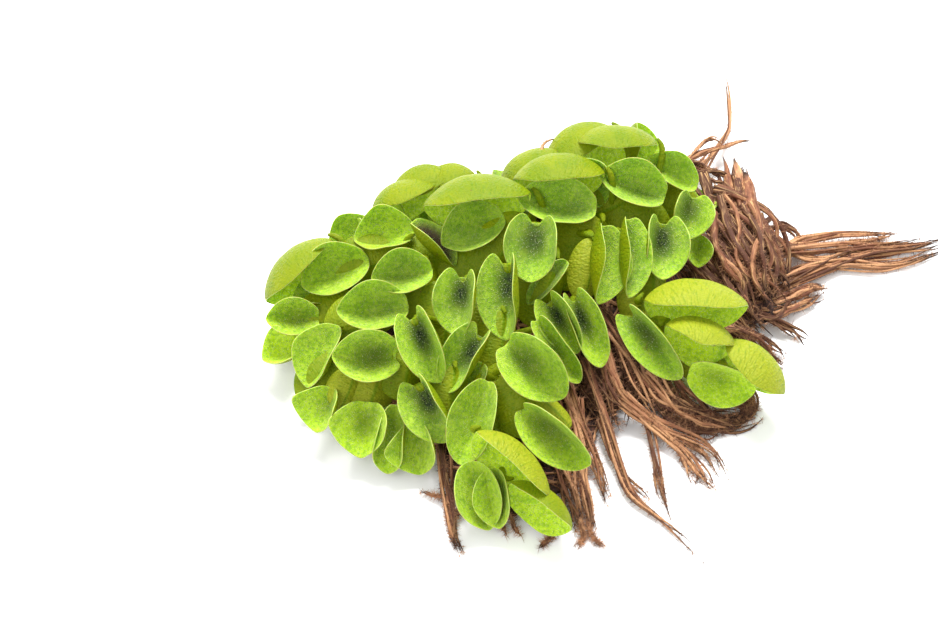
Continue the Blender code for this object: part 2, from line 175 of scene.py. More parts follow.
def along(line, share):
    """A place and radius that far along a line of (place, radius)."""
    position = share * (len(line) - 1)
    first = min(int(position), len(line) - 2)
    rest = position - first
    place, radius = line[first]
    next_place, next_radius = line[first + 1]
    return place.lerp(next_place, rest), radius + (next_radius - radius) * rest


STEM_GREEN = (0.22, 0.34, 0.03, 1)
STEM_PALE = (0.42, 0.48, 0.10, 1)
STEM_BROWN = (0.16, 0.09, 0.03, 1)
stem_skin, tree, surface, place = new_material(
    "stem_skin", 0.45, Subsurface_Weight=0.2, Subsurface_Scale=MM,
)
colour = tinted(STEM_GREEN, STEM_PALE, patches(place, 250), 0.4, 0.65)
colour = tinted(colour, STEM_BROWN, patches(place, 900), 0.55, 0.75)
finish(surface, colour, patches(place, 2500))

# Each stem's stations from end to end: px, py, height in mm and radius in mm.
STEMS = {
    "rhizome_main": (
        (330, 290, 9, 0.6), (400, 265, 13, 1.0), (480, 255, 14, 1.2), (560, 235, 15, 1.2),
        (640, 225, 12, 0.9),
    ),
    "rhizome_left": ((352, 300, 9, 0.6), (338, 340, 8, 0.9), (356, 385, 6, 0.9), (392, 415, 4.5, 0.6)),
    "rhizome_front": ((470, 280, 13, 0.7), (462, 330, 11, 1.0), (480, 390, 8, 1.0), (505, 450, 5, 0.6)),
    "rhizome_right": ((600, 260, 12, 0.7), (632, 290, 10, 1.0), (680, 325, 8, 1.0), (735, 362, 6, 0.6)),
}
RING_SPACING = 5 * MM
RING_SWELLING = 0.16
POINTS_PER_RING = 4
STEM_SIDES = 10

stem_lines = {}
for name, stations in STEMS.items():
    line = [(spot(px, py, height), radius * MM) for px, py, height, radius in stations]
    stem_lines[name] = [place for place, _ in line]
    length = sum((b[0] - a[0]).length for a, b in zip(line, line[1:]))
    points = round(length / RING_SPACING) * POINTS_PER_RING
    ringed = []
    for k in range(points + 1):
        place, radius = along(line, k / points)
        swollen = k % POINTS_PER_RING == POINTS_PER_RING // 2
        ringed.append((place, radius * (1 + RING_SWELLING * swollen)))
    stem = tube(name + "_grown", [ringed], STEM_SIDES, 2, stem_skin)
    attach(stem, "root")
    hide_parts(name)


# Root felt: in water the plant's third leaves hang down as brown feathery threads; here they are pressed
# into a felted cushion under the clump. It is a lumpy copy of the solid, coated with threads and hairs.

FELT_CELL = 1.6 * MM
FELT_LUMP = 1.2 * MM
FELT_LUMP_SIZE = 5 * MM
FELT_SINKING = 0.62
MERGE_DISTANCE = 0.01 * MM
ROOT_DARK = (0.030, 0.013, 0.010, 1)
ROOT_SHADE = (0.085, 0.032, 0.018, 1)
ROOT_BROWN = (0.24, 0.090, 0.045, 1)
ROOT_TAN = (0.50, 0.255, 0.13, 1)
ROOT_GOLD_HIGHLIGHT = (0.75, 0.46, 0.20, 1)

# The felt's near-black brown is partly the matted roots' own dark colour and partly painted shade for the
# gaps between the strands.
root_felt, tree, surface, place = new_material("root_felt", 0.9)
colour = tinted(ROOT_DARK, ROOT_SHADE, patches(place, 700, 5), 0.42, 0.72)
colour = tinted(colour, ROOT_BROWN, patches(place, 2600, 4), 0.56, 0.72)
finish(surface, colour, patches(place, 3000, 5), 0.4 * MM)


def trait(tree, name):
    """A value that a piece carries for its own look, such as how young a leaf is and so how much painted glow
    it gives.
    """
    return add(tree, "Attribute", attribute_name=name).outputs["Fac"]


root_thread, tree, surface, place = new_material("root_thread", 0.62, Specular_IOR_Level=0.2)
strand_map = add(tree, "UVMap", uv_map="UVMap").outputs["UV"]
run = add(tree, "SeparateXYZ", {"Vector": strand_map}).outputs["X"]
streak_map = add(tree, "Mapping", {"Vector": strand_map, "Scale": (3, 6, 1)}).outputs["Vector"]
one_thread = add(tree, "NewGeometry").outputs["Random Per Island"]
shifted = add(tree, "VectorMath", {0: streak_map, 1: one_thread}, operation="ADD").outputs["Vector"]
streaks = patches(shifted, 2.2, 5)
tone = sums("ADD", sums("MULTIPLY", one_thread, 0.75), sums("MULTIPLY", patches(place, 260), 0.30))
# paleness_and_shade shifts each bundle's tone: partly the roots' own paler or darker brown, and partly
# painted shade on bundles that lie under others.
tone = sums("ADD", tone, trait(tree, "paleness_and_shade"))
colour = tinted(ROOT_SHADE, ROOT_BROWN, tone, 0.22, 0.60)
colour = tinted(colour, ROOT_TAN, tone, 0.48, 0.80)
# Golden streaks along the strands: partly their own pale gold and partly painted highlight.
colour = tinted(colour, ROOT_GOLD_HIGHLIGHT, streaks, 0.50, 0.70, 0.65)
colour = tinted(colour, ROOT_SHADE, streaks, 0.48, 0.30, 0.8)
colour = tinted(colour, ROOT_DARK, run, 0.90, 1.0)
finish(surface, colour, streaks, 0.25 * MM)

root_hair, tree, surface, place = new_material("root_hair", 0.8)
finish(surface, tinted(ROOT_SHADE, ROOT_TAN, patches(place, 500), 0.35, 0.65))


def uneven(name, size):
    """A cloud pattern in space for pushing surfaces about."""
    pattern = bpy.data.textures.new(name, "CLOUDS")
    pattern.noise_scale = size
    pattern.noise_depth = 2
    return pattern


HAIR_THICKNESS = 0.06 * MM
HAIR_LEAN = 0.9
HAIR_FACES = ((0, 1, 3), (1, 2, 3), (2, 0, 3), (2, 1, 0))


def hairs_on(piece, count, shortest, longest, seed):
    """Fine hairs rooted in a piece's surface, leaning out of it: one closed spike of four faces each."""
    draw = random.Random(seed)
    mesh = piece.data
    corners, faces = [], []
    for _ in range(count):
        root = mesh.vertices[draw.randrange(len(mesh.vertices))]
        out = (root.normal + Vector([draw.uniform(-HAIR_LEAN, HAIR_LEAN) for _ in range(3)])).normalized()
        side = out.orthogonal().normalized()
        other = out.cross(side)
        length = draw.uniform(shortest, longest)
        first = len(corners)
        for k in range(3):
            turn = 2 * math.pi * k / 3
            aside = (side * math.cos(turn) + other * math.sin(turn)) * HAIR_THICKNESS
            corner = root.co - root.normal * HAIR_THICKNESS + aside
            corner.z = max(corner.z, 0)
            corners.append(corner)
        tip = root.co + out * length
        tip.z = max(tip.z, HAIR_THICKNESS)
        corners.append(tip)
        faces += [[first + k for k in face] for face in HAIR_FACES]
    data = bpy.data.meshes.new(piece.name + "_hair")
    data.from_pydata(corners, [], faces)
    data.materials.append(root_hair)
    hair = bpy.data.objects.new(data.name, data)
    scene.collection.objects.link(hair)
    pick(piece, hair)
    bpy.ops.object.join()


felt_lumps = uneven("felt_lumps", FELT_LUMP_SIZE)


def felted(node, name, lump, sinking):
    """A matted, lumpy copy of one of the solids; sinking is the share of each lump that goes inward."""
    pick(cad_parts[node])
    bpy.ops.object.duplicate()
    mass = bpy.context.object
    mass.name = name
    mass.data.name = name
    for key in list(mass.keys()):
        del mass[key]
    mass.parent = None
    mass.data.materials.clear()
    mass.data.materials.append(root_felt)
    bpy.ops.object.mode_set(mode="EDIT")
    bpy.ops.mesh.select_all(action="SELECT")
    bpy.ops.mesh.remove_doubles(threshold=MERGE_DISTANCE)
    bpy.ops.object.mode_set(mode="OBJECT")
    mass.data.remesh_voxel_size = FELT_CELL
    bpy.ops.object.voxel_remesh()
    lumps = mass.modifiers.new("lumps", "DISPLACE")
    lumps.texture, lumps.texture_coords = felt_lumps, "GLOBAL"
    lumps.strength, lumps.mid_level = lump, sinking
    apply_modifiers(mass)
    for corner in mass.data.vertices:
        corner.co.z = max(corner.co.z, 0)
    bpy.ops.object.shade_smooth()
    return mass


felt = felted("root_mat", "root_felt_cushion", FELT_LUMP, FELT_SINKING)
felt_tree = BVHTree.FromObject(felt, bpy.context.evaluated_depsgraph_get())

FELT_THREADS = 520
THREAD_STEP = 2.2 * MM
THREAD_STEPS = 9
THREAD_THINNEST = 0.22 * MM
THREAD_THICKEST = 0.5 * MM
THREAD_TAPER = 0.75
THREAD_SPREAD = 0.35
THREAD_SWERVE = 0.3
DRIFT_RIGHT = 0.2
DRIFT_NEAR = 0.15
START_LOWEST = 1.5 * MM
START_TILT = -0.2
THREAD_SIDES = 6
FELT_HAIRS = 9000
draw = random.Random(11)


def felt_thread(start):
    """One thread's (place, radius) line, wandering down over the felt from one of its corners."""
    place = start.co.copy()
    heading = Vector((start.normal.x + DRIFT_RIGHT, start.normal.y - DRIFT_NEAR, 0))
    heading += Vector((draw.gauss(0, THREAD_SPREAD), draw.gauss(0, THREAD_SPREAD), 0))
    heading.normalize()
    thickness = draw.uniform(THREAD_THINNEST, THREAD_THICKEST)
    line = []
    for k in range(THREAD_STEPS):
        near, normal, _, _ = felt_tree.find_nearest(place)
        radius = thickness * (1 - THREAD_TAPER * k / THREAD_STEPS)
        where = near + normal * thickness * draw.uniform(0.1, 1.1)
        line.append((Vector((where.x, where.y, max(where.z, radius))), radius))
        swerve = Vector((draw.gauss(0, THREAD_SWERVE), draw.gauss(0, THREAD_SWERVE), 0))
        heading = (heading + swerve).normalized()
        downhill = heading - normal * heading.dot(normal)
        place = near + downhill.normalized() * THREAD_STEP
        place.z = max(place.z, thickness)
    return line


tops = [v for v in felt.data.vertices if v.co.z > START_LOWEST and v.normal.z > START_TILT]
felt_lines = [felt_thread(tops[draw.randrange(len(tops))]) for _ in range(FELT_THREADS)]
threads = tube("felt_threads", felt_lines, THREAD_SIDES, 2, root_thread)
hairs_on(threads, FELT_HAIRS, 0.5 * MM, 1.6 * MM, 12)
pick(felt, threads)
bpy.ops.object.join()
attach(felt, "root")
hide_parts("root_mat")


# Root bundles: where the threads are drawn out of the felt they lie along the table as ropes of stiff
# brown strands, thick at the clump and drawn to dark pointed tips, each one fringed with fine hairs.

STRAND_POINTS = 12
STRAND_SHORTEST = 0.84
STRAND_TIP = 0.2
STRAND_TAPER = 0.35
TIP_TAPER = 0.85
GATHERING = 0.75
FLATTENING = 0.6
CLEAR_OF_TABLE = 1.05
CORE_LUMP = 5 * MM


def strand(guide, radius, spread, wander, whole, draw):
    """One strand's (place, radius) line: it winds round its rope's guide line and ends in a point."""
    turn = draw.uniform(0, 2 * math.pi)
    reach = math.sqrt(draw.random()) * spread * MM
    thickness = radius * MM * draw.uniform(0.7, 1.25)
    tip = 1.0 if whole else draw.uniform(STRAND_SHORTEST, 1.0)
    phase, pitch = draw.uniform(0, 6), draw.uniform(2, 8)
    winding = draw.uniform(0.5, 5.5)
    line = []
    for k in range(STRAND_POINTS):
        share = k / (STRAND_POINTS - 1)
        place, _ = along(guide, share * tip)
        ahead, _ = along(guide, min(1, share * tip + 0.05))
        heading = (ahead - place).normalized() if (ahead - place).length > 1e-6 else RIGHT
        side = heading.cross(Vector((0, 0, 1)))
        side = side.normalized() if side.length > 1e-3 else RIGHT
        up = side.cross(heading)
        twist = turn + share * winding
        gather = 1 - GATHERING * share**1.5
        sway = wander * MM * math.sin(phase + pitch * share) * (0.3 + share)
        offset = side * (math.cos(twist) * reach * gather + sway)
        offset += up * math.sin(twist) * reach * gather * FLATTENING
        jitter = Vector([draw.gauss(0, 0.12 * wander * MM) for _ in range(3)])
        point = max(0, share - 1 + STRAND_TIP) / STRAND_TIP
        girth = thickness * (1 - STRAND_TAPER * share) * (1 - TIP_TAPER * point)
        where = place + offset + jitter
        where.z = max(where.z, girth * CLEAR_OF_TABLE)
        line.append((where, girth))
    return line


def give_trait(piece, name, value):
    """Let a piece carry a value, the same at all its corners."""
    layer = piece.data.attributes.new(name, "FLOAT", "POINT")
    layer.data.foreach_set("value", [value] * len(piece.data.vertices))


def bundle(name, node, seed, paleness_and_shade, hair_count, ropes, matted=False):
    """Strands round guide lines. Each rope's row is its count of strands, their radius, spread and wander
    in mm, and then the stations of its guide line: px, py and height in mm. The first strand of a rope
    reaches its tip."""
    draw = random.Random(seed)
    lines = []
    for count, radius, spread, wander, *stations in ropes:
        guide = [(spot(*station), 0) for station in stations]
        lines += [strand(guide, radius, spread, wander, k == 0, draw) for k in range(count)]
    piece = tube(name, lines, THREAD_SIDES, 3, root_thread)
    give_trait(piece, "paleness_and_shade", paleness_and_shade)
    hairs_on(piece, hair_count, 0.4 * MM, 1.7 * MM, seed + 1)
    if matted:
        pick(piece, felted(node, name + "_core", CORE_LUMP, 1))
        bpy.ops.object.join()
    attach(piece, "root")
    if node:
        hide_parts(node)


# Painted shade: the main tangle, under its top strands, is made darker.
bundle("tangle_strands", "root_tangle_right", 21, -0.42, 6000, (
    (7, 0.52, 2.2, 1.4, (715, 190, 9), (738, 200, 9), (755, 212, 8), (770, 228, 7.5), (778, 245, 6),
     (782, 270, 4), (780, 295, 2)),
    (8, 0.55, 2.6, 1.7, (725, 190, 7), (735, 205, 8), (742, 235, 9), (757, 260, 8), (775, 280, 5),
     (780, 300, 2.5)),
    (6, 0.68, 2.0, 1.5, (690, 235, 9), (700, 250, 9), (715, 268, 8), (740, 290, 6), (783, 295, 3)),
    (5, 0.62, 1.5, 1.2, (690, 250, 8), (700, 262, 7.5), (745, 305, 5), (790, 330, 1.5), (805, 343, 0.6)),
    (8, 0.56, 2.6, 1.7, (722, 222, 10), (738, 248, 10), (750, 272, 8.5), (768, 290, 6.5), (778, 302, 4)),
    (8, 0.54, 2.6, 1.7, (735, 212, 10), (752, 238, 10), (764, 262, 9), (772, 284, 7), (772, 302, 4)),
    (7, 0.52, 2.2, 1.7, (712, 236, 10), (728, 268, 9.5), (746, 300, 7), (772, 328, 3.5)),
    (6, 0.6, 1.5, 1.4, (688, 250, 8), (704, 283, 7), (735, 315, 5), (760, 335, 2.5)),
    (7, 0.5, 2.0, 1.4, (690, 200, 8), (702, 225, 9), (712, 250, 8.5), (724, 278, 7), (740, 300, 5)),
    (4, 0.5, 0.8, 0.8, (760, 240, 6), (770, 230, 5), (781, 224, 5), (796, 232, 3), (802, 255, 1.5)),
    (5, 0.68, 2.0, 1.7, (700, 175, 9), (712, 200, 9), (722, 230, 9), (726, 262, 7), (735, 290, 5)),
    (7, 0.58, 2.4, 2.2, (712, 205, 8), (735, 225, 9.5), (728, 250, 9), (752, 262, 8), (758, 290, 4)),
    (7, 0.58, 2.4, 2.2, (760, 215, 6), (742, 240, 9), (760, 262, 8), (745, 285, 6), (765, 310, 3)),
    (5, 0.55, 1.6, 1.4, (700, 300, 6), (735, 322, 4), (765, 345, 2), (782, 362, 0.8)),
    (5, 0.5, 1.4, 1.4, (690, 165, 8), (708, 172, 7), (722, 180, 7), (735, 190, 6)),
), matted=True)
bundle("tangle_stubs", None, 22, -0.02, 300, (
    (2, 1.1, 0.5, 0.2, (738, 225, 8), (730, 190, 8), (723, 157, 6)),
    (2, 1.5, 0.7, 0.2, (740, 225, 8), (738, 190, 8), (734, 159, 6)),
    (2, 1.6, 0.7, 0.2, (748, 230, 8), (748, 200, 8.5), (745, 172, 7)),
    (12, 0.5, 3.2, 0.6, (746, 234, 6), (745, 197, 5), (742, 166, 4)),
))
bundle("tangle_top_strands", None, 23, -0.14, 1500, (
    (3, 0.75, 1.2, 1.6, (726, 196, 11), (736, 222, 11.5), (742, 250, 11), (748, 278, 9), (765, 296, 6)),
    (3, 0.80, 1.2, 1.8, (748, 205, 10), (756, 230, 11), (752, 256, 11), (764, 280, 9), (776, 298, 5)),
    (2, 0.70, 0.8, 1.4, (712, 214, 11), (716, 240, 11.5), (730, 262, 11), (738, 286, 8.5), (752, 300, 6)),
    (3, 0.65, 1.2, 1.2, (758, 214, 8.5), (771, 236, 8), (779, 258, 6.5), (776, 284, 4.5)),
))
bundle("tail_strands", "root_tail_right", 31, 0.06, 3500, (
    (11, 0.36, 2.1, 0.9, (765, 290, 4), (783, 285, 3), (820, 270, 2), (870, 250, 1.4), (915, 246, 1),
     (948, 235, 0.6)),
    (7, 0.34, 1.1, 0.7, (770, 265, 4), (796, 240, 3), (835, 234, 2), (872, 236, 1.5), (898, 234, 1)),
    (10, 0.36, 1.8, 0.8, (770, 280, 3.5), (800, 268, 2), (840, 264, 1.5), (880, 268, 1), (910, 262, 0.8),
     (948, 244, 0.5)),
    (8, 0.5, 1.4, 0.7, (750, 305, 4), (790, 297, 2.5), (810, 287, 2), (829, 286, 1)),
    (7, 0.42, 1.6, 0.9, (750, 310, 4), (775, 318, 2.5), (800, 302, 1.8), (822, 294, 1)),
    (9, 0.34, 1.7, 0.9, (765, 250, 5), (800, 250, 2.5), (850, 248, 1.6), (885, 246, 1.2), (925, 243, 0.8)),
    (6, 0.36, 2.0, 1.0, (775, 240, 4), (805, 258, 2.2), (850, 256, 1.6), (900, 252, 1), (946, 243, 0.6)),
    (3, 0.3, 0.5, 0.3, (850, 240, 1.5), (868, 240, 1.4), (880, 239, 1.3), (893, 233, 1.6)),
))
# Painted shade: the curtain, under its top strands, is made darker.
bundle("curtain_strands", "root_curtain_right", 41, -0.42, 7000, (
    (14, 0.38, 3.0, 1.2, (640, 345, 8), (655, 390, 4), (690, 420, 1.8), (735, 428, 0.8), (752, 412, 0.6)),
    (14, 0.38, 3.0, 1.2, (655, 360, 6), (680, 400, 3), (712, 420, 1.2), (745, 418, 0.8)),
    (12, 0.38, 2.4, 1.0, (650, 380, 5), (668, 415, 2), (700, 432, 1), (725, 428, 0.7)),
    (8, 0.38, 1.6, 0.8, (700, 325, 6), (740, 338, 4.5), (765, 355, 2), (781, 366, 0.8)),
    (8, 0.35, 1.2, 0.6, (740, 385, 3), (752, 395, 2), (752, 412, 0.8), (735, 424, 0.6)),
    (10, 0.35, 2.0, 0.8, (700, 380, 4), (730, 395, 3), (750, 405, 1.2), (745, 420, 0.7)),
))
bundle("curtain_top_strands", None, 42, 0.05, 1500, (
    (5, 0.40, 2.2, 1.4, (645, 350, 9), (664, 392, 5.5), (696, 414, 3), (740, 420, 1.2)),
    (4, 0.40, 2.0, 1.4, (652, 370, 7.5), (676, 408, 4), (706, 424, 2), (732, 426, 1)),
    (5, 0.42, 1.6, 0.8, (705, 322, 8), (742, 336, 5.5), (766, 353, 2.6), (783, 366, 1)),
))
bundle("front_strands", "root_hank_front", 51, 0.0, 6000, (
    (8, 0.38, 1.6, 0.8, (600, 330, 11), (605, 355, 9), (617, 395, 6), (645, 420, 3), (690, 440, 1.4),
     (712, 455, 0.8), (724, 481, 0.5)),
    (5, 0.36, 1.0, 0.7, (620, 390, 6), (650, 422, 2.8), (680, 450, 1.4), (690, 468, 0.8), (696, 486, 0.5)),
    (4, 0.36, 0.9, 0.7, (625, 395, 6), (660, 428, 2.4), (690, 455, 1.2), (705, 475, 0.8), (715, 492, 0.5)),
    (4, 0.32, 0.7, 0.6, (625, 395, 5), (648, 420, 2.4), (657, 465, 1), (660, 490, 0.7), (671, 522, 0.4)),
    (6, 0.42, 0.8, 0.5, (585, 360, 9), (592, 385, 7), (607, 430, 3.5), (622, 480, 1.2), (634, 500, 1),
     (670, 527, 0.7), (703, 558, 0.4)),
    (3, 0.34, 0.6, 0.5, (600, 420, 3.5), (613, 455, 2), (627, 478, 1), (649, 498, 0.5)),
    (8, 0.36, 1.7, 0.8, (560, 370, 9), (572, 400, 7), (585, 440, 3.5), (597, 470, 1.5), (607, 505, 0.5)),
    (5, 0.40, 2.6, 1.2, (600, 310, 11.5), (622, 350, 9), (640, 385, 6.5), (668, 424, 2)),
    (5, 0.40, 2.6, 1.2, (590, 315, 11.5), (602, 355, 9), (612, 395, 6.5), (628, 430, 2)),
))
# Painted shade: the strands under the front hank are made darker.
bundle("front_under_strands", None, 52, -0.45, 5000, (
    (12, 0.36, 4.5, 1.2, (600, 310, 10), (615, 345, 7), (630, 385, 4), (645, 420, 1.5)),
    (12, 0.36, 4.5, 1.2, (575, 320, 10), (590, 360, 7), (600, 400, 4), (612, 432, 1.5)),
    (12, 0.36, 4.0, 1.2, (640, 310, 8.5), (648, 345, 5.5), (660, 385, 3), (675, 420, 1.2)),
))
bundle("middle_strands", "root_hank_middle", 61, 0.05, 3500, (
    (12, 0.36, 2.6, 0.6, (555, 400, 6), (560, 440, 4), (566, 480, 2), (576, 512, 1), (584, 536, 0.6)),
    (10, 0.36, 2.0, 0.6, (572, 400, 6), (576, 440, 4), (582, 480, 2), (590, 512, 1), (594, 537, 0.6)),
    (3, 0.24, 0.5, 0.3, (580, 520, 1.2), (584, 536, 0.8), (577, 546, 0.4)),
    (3, 0.22, 0.5, 0.3, (588, 520, 1.2), (594, 538, 0.8), (604, 546, 0.4)),
))
bundle("left_strands", "root_hank_left", 71, -0.12, 2200, (
    (12, 0.36, 1.8, 0.6, (450, 420, 5), (446, 445, 3.6), (446, 480, 2.4), (450, 515, 1.2), (452, 538, 0.7),
     (459, 554, 0.4)),
    (3, 0.28, 0.5, 0.3, (449, 505, 1.8), (446, 496, 1.6), (436, 495, 1), (421, 491, 0.8)),
    (4, 0.28, 1.2, 0.3, (470, 500, 2.2), (462, 508, 1.6), (452, 517, 1.2), (449, 524, 0.8)),
    (3, 0.3, 0.6, 0.3, (490, 505, 2.5), (500, 522, 1.2), (507, 537, 0.5)),
    (3, 0.3, 0.6, 0.3, (505, 505, 2.5), (514, 525, 1.2), (522, 538, 0.5)),
    (4, 0.4, 0.5, 0.3, (545, 515, 2.5), (555, 533, 1.0), (549, 541, 0.7), (539, 547, 0.5)),
))
bundle("sprig_strands", "root_sprig_top", 81, 0.12, 500, (
    (3, 0.34, 0.5, 0.3, (690, 185, 8), (704, 172, 6), (709, 160, 5), (717, 149, 4), (724, 138, 3),
     (730, 127, 2), (730, 110, 1.4), (728, 85, 1), (724, 72, 0.8)),
    (4, 0.4, 0.6, 0.4, (680, 172, 8), (686, 160, 7), (700, 153, 5.5), (715, 149, 4.5), (728, 147, 3.5),
     (740, 141, 2.6), (752, 140, 2)),
    (3, 0.36, 0.5, 0.3, (680, 170, 8), (688, 160, 7), (698, 149, 6), (707, 139, 5), (715, 138, 4.5),
     (721, 142, 4)),
    (4, 0.3, 0.8, 0.4, (680, 178, 8), (693, 167, 7), (702, 160, 6), (712, 152, 5)),
))
bundle("crown_loop", None, 91, 0.12, 60, (
    (1, 0.42, 0.1, 0.1, (566, 176, 22), (556, 166, 23), (547, 159, 24), (541, 149, 24), (545, 141, 23.5),
     (556, 138, 22)),
    (1, 0.3, 0.1, 0.1, (562, 178, 22), (552, 168, 23), (545, 156, 23.5), (544, 148, 23)),
))


# Leaves: each is one soft round blade, velvety above with tiny pale papillae and waxy below, notched
# where its stalk joins. It is cut flat, rolled up about the midrib into a cup, and given its thickness.

BLADE_POINTS = 48
BLADE_INSETS = (0.03, 0.07, 0.13, 0.17, 0.18, 0.2)
BLADE_THICKNESS = 0.85 * MM
RIM_SHARE = 0.26
NARROWEST = 0.02
NOTCH_DEPTH = 0.52
NOTCH_LEAST = 0.12
NOTCH_REACH = 0.34
NOTCH_BELOW = -0.85
NOTCH_HALF_WIDTH = 0.1
OFF_MIDRIB = 0.01 * MM
WARP = 0.9 * MM
WARP_SIZE = 9 * MM
TABLE_GAP = 0.1 * MM

FACE_OLD = (0.235, 0.415, 0.022, 1)
FACE_YOUNG = (0.36, 0.50, 0.004, 1)
FACE_LIGHT = (0.42, 0.56, 0.050, 1)
FACE_PAINTED_SHADE = (0.008, 0.018, 0.004, 1)
FACE_GREY = (0.19, 0.31, 0.045, 1)
FACE_DEEP = (0.118, 0.245, 0.010, 1)
PAPILLA_WHITE = (0.55, 0.66, 0.30, 1)
WILTED_BROWN = (0.12, 0.085, 0.05, 1)
NO_GLOW = (0, 0, 0, 1)
PIT_BELOW = 0.15
BACK_GREEN = (0.128, 0.190, 0.001, 1)
BACK_YELLOW = (0.185, 0.228, 0.0015, 1)
BACK_YOUNG = (0.26, 0.295, 0.014, 1)
BACK_DEEP = (0.09, 0.18, 0.002, 1)
SPECK_BROWN = (0.14, 0.10, 0.02, 1)
RIM_PALE = (0.36, 0.45, 0.10, 1)
RIM_BROWN = (0.34, 0.26, 0.08, 1)
LEAF_LIGHT_RADIUS = (0.7, 1.0, 0.1)


def on_blade(tree):
    """The place on the flat blade: across it and along it, each from -1 to 1."""
    blade_map = add(tree, "UVMap", uv_map="UVMap").outputs["UV"]
    centred = {"Vector": blade_map, "Location": (-1, -1, 0), "Scale": (2, 2, 1)}
    return add(tree, "Mapping", centred).outputs["Vector"]


leaf_face, tree, surface, place = new_material(
    "leaf_face", 0.62, Sheen_Weight=0.04, Subsurface_Weight=0.3, Subsurface_Scale=1.2 * MM,
    Subsurface_Radius=LEAF_LIGHT_RADIUS, Specular_IOR_Level=0.15, Emission_Strength=0.4,
)
flat = on_blade(tree)
parts = add(tree, "SeparateXYZ", {"Vector": flat})
across, lengthwise = parts.outputs["X"], parts.outputs["Y"]
from_middle = add(tree, "VectorMath", {0: flat}, operation="LENGTH").outputs["Value"]
from_midrib = sums("ABSOLUTE", across)
young_and_glow = trait(tree, "young_and_glow")

# The green: greyer in broad patches, yellower where the leaf is young, and paler towards the rim,
# which is partly the leaf's own pale edge and partly painted light.
big = patches(place, 130, 2)
colour = tinted(FACE_OLD, FACE_GREY, big, 0.40, 0.62, 0.8)
colour = blended(young_and_glow, colour, FACE_YOUNG)
outward = sums("ADD", from_middle, sums("MULTIPLY", big, 0.5))
colour = tinted(colour, FACE_LIGHT, outward, 0.85, 1.40, 0.45)

# The mottling: coarse and fine spots, lighter and deeper, and faint rows along the leaf.
mottle = patches(place, 420)
fine = patches(place, 1500)
colour = tinted(colour, FACE_LIGHT, mottle, 0.50, 0.66, 0.45)
colour = tinted(colour, FACE_DEEP, mottle, 0.48, 0.34, 0.45)
colour = tinted(colour, FACE_DEEP, fine, 0.52, 0.36, 0.55)
colour = tinted(colour, FACE_LIGHT, fine, 0.54, 0.66, 0.50)
rows_map = add(tree, "Mapping", {"Vector": flat, "Scale": (6, 30, 1)}).outputs["Vector"]
rows = patches(rows_map, 1.0, 2)
colour = tinted(colour, FACE_OLD, rows, 0.58, 0.40, 0.35)

# Painted shade: the cup's pit, along the midrib and just below the middle, is darkened, the more as
# notch_and_shade rises.
from_pit = sums("ABSOLUTE", sums("ADD", lengthwise, PIT_BELOW))
depth = sums("MULTIPLY", span(from_midrib, 0.62, 0.05), span(from_pit, 0.85, 0.05))
depth = sums("MULTIPLY", depth, span(fine, 0.20, 0.60, 0.7, 1.0))
colour = blended(sums("MULTIPLY", depth, trait(tree, "notch_and_shade")), colour, FACE_PAINTED_SHADE)

# The brown of a wilted leaf, and then the papillae, which stand out of the face as pale dots.
brown_share = sums("MULTIPLY", trait(tree, "wilted"), span(outward, 1.30, 0.70))
colour = blended(brown_share, colour, WILTED_BROWN)
dots = add(tree, "TexVoronoi", {"Vector": place, "Scale": 2900, "Randomness": 0.9})
dot = span(dots.outputs["Distance"], 0.42, 0.12)
dot_share = sums("MULTIPLY", dot, span(fine, 0.35, 0.60, 0.15, 0.65))
colour = blended(dot_share, colour, PAPILLA_WHITE)

# Painted glow: a leaf with a high young_and_glow gives off its own colour faintly, standing in for the light
# that comes through it.
glow = blended(span(young_and_glow, 0.60, 0.80), NO_GLOW, colour)
tree.links.new(glow, surface.inputs["Emission Color"])
finish(surface, colour, sums("ADD", dot, sums("MULTIPLY", fine, 0.6)), 0.20 * MM)

leaf_back, tree, surface, place = new_material(
    "leaf_back", 0.5, Subsurface_Weight=0.25, Subsurface_Scale=MM, Subsurface_Radius=LEAF_LIGHT_RADIUS,
    Specular_IOR_Level=0.15, Emission_Strength=0.12,
)
flat = on_blade(tree)
from_midrib = sums("ABSOLUTE", add(tree, "SeparateXYZ", {"Vector": flat}).outputs["X"])
big = patches(place, 120, 2)
colour = tinted(BACK_GREEN, BACK_YELLOW, big, 0.36, 0.66)
colour = tinted(colour, BACK_YELLOW, from_midrib, 0.40, 0.0, 0.45)
colour = tinted(colour, BACK_YOUNG, trait(tree, "young_and_glow"), 0.85, 1.0)
vein_map = add(tree, "Mapping", {"Vector": flat, "Scale": (4, 18, 1)}).outputs["Vector"]
veins = patches(vein_map, 1.0)
colour = tinted(colour, BACK_DEEP, veins, 0.50, 0.66, 0.55)
cell_edges = add(tree, "TexVoronoi", {"Vector": place, "Scale": 1100}, feature="DISTANCE_TO_EDGE")
cells = cell_edges.outputs["Distance"]
colour = tinted(colour, BACK_YELLOW, cells, 0.12, 0.0, 0.50)
colour = tinted(colour, BACK_DEEP, from_midrib, 0.05, 0.01, 0.6)
specks = patches(place, 900, 2)
colour = tinted(colour, SPECK_BROWN, specks, 0.70, 0.76, 0.8)
# Painted glow: the back gives off its own colour faintly, standing in for the light that comes through the
# leaf.
tree.links.new(colour, surface.inputs["Emission Color"])
finish(surface, colour, sums("ADD", veins, cells), 0.22 * MM)

leaf_rim, tree, surface, place = new_material(
    "leaf_rim", 0.4, Subsurface_Weight=0.3, Subsurface_Scale=MM, Specular_IOR_Level=0.3,
)
colour = tinted(RIM_PALE, RIM_BROWN, patches(place, 350), 0.55, 0.75, 0.8)
finish(surface, colour, patches(place, 2500), 0.05 * MM)

